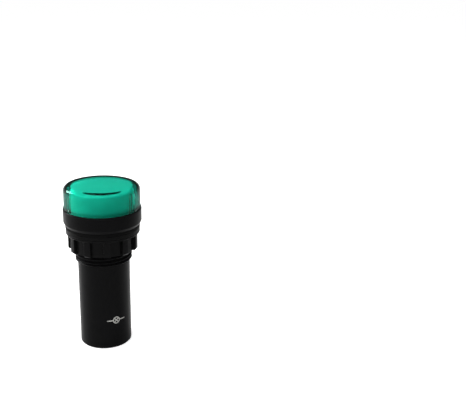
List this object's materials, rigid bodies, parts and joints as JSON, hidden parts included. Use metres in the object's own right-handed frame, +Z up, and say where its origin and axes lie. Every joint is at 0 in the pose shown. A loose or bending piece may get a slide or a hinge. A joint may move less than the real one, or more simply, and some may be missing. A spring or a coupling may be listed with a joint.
{
  "type": "panel pilot light",
  "caption": "Panel pilot light with a round lens cap, bezel, threaded neck with gasket, washer and ring nut, and a barrel with recessed rear screw terminals.",
  "frame": {"origin": "centre of the foot, the rear end face of the barrel", "axes": "+Z up along the barrel towards the lens cap, -Y towards the side of terminal a"},
  "size_m": [0.0298, 0.0298, 0.0644],
  "materials": {
    "lens": "clear green, polished",
    "diffuser": "milky, satin",
    "housing": "black moulded, semi-gloss",
    "nut": "black moulded, semi-gloss",
    "gasket": "black rubber, matt",
    "washer": "black moulded, matt",
    "board": "green laminate",
    "led": "clear resin",
    "film": "dipped resin",
    "can": "drawn can",
    "chip": "moulded epoxy",
    "resistor": "lacquered",
    "base": "black moulded, matt",
    "brass": "stamped",
    "steel": "zinc plated"
  },
  "bodies": {
    "housing": {"housing": "housing", "lens_cap": "lens", "lens_seal": "gasket", "diffuser": "diffuser", "panel_gasket": "gasket", "led_board": "board", "leds": "led", "link_pins": "brass", "driver_board": "board", "dropper_capacitor": "film", "smoothing_capacitor": "can", "bridge_rectifier": "chip", "resistors": "resistor", "terminal_base": "base", "terminal_plate_a": "brass", "terminal_plate_b": "brass"},
    "washer": {"panel_washer": "washer"},
    "nut": {"panel_nut": "nut"},
    "clamp_a": {"clamp_washer_a": "steel"},
    "screw_a": {"terminal_screw_a": "steel"},
    "clamp_b": {"clamp_washer_b": "steel"},
    "screw_b": {"terminal_screw_b": "steel"}
  },
  "joints": [
    {"name": "washer_slide", "type": "slide", "parent": "housing", "child": "washer", "axis": [0, 0, -1], "range_m": [0, 0.0075]},
    {"name": "nut_turn", "type": "hinge", "parent": "washer", "child": "nut", "pos_m": [0, 0, 0.0427], "axis": [0, 0, -1], "range_deg": [0, 1800]},
    {"name": "clamp_slide_a", "type": "slide", "parent": "housing", "child": "clamp_a", "axis": [0, 0, -1], "range_m": [0, 0.0025]},
    {"name": "screw_turn_a", "type": "hinge", "parent": "clamp_a", "child": "screw_a", "pos_m": [0, -0.0043, 0.0074], "axis": [0, 0, -1], "range_deg": [0, 1800]},
    {"name": "clamp_slide_b", "type": "slide", "parent": "housing", "child": "clamp_b", "axis": [0, 0, -1], "range_m": [0, 0.0025]},
    {"name": "screw_turn_b", "type": "hinge", "parent": "clamp_b", "child": "screw_b", "pos_m": [0, 0.0043, 0.0074], "axis": [0, 0, -1], "range_deg": [0, 1800]}
  ],
  "couplings": [
    {"joint": "nut_turn", "follows": "washer_slide", "rad_per_m": 4188.8},
    {"joint": "screw_turn_a", "follows": "clamp_slide_a", "rad_per_m": 12566},
    {"joint": "screw_turn_b", "follows": "clamp_slide_b", "rad_per_m": 12566}
  ]
}
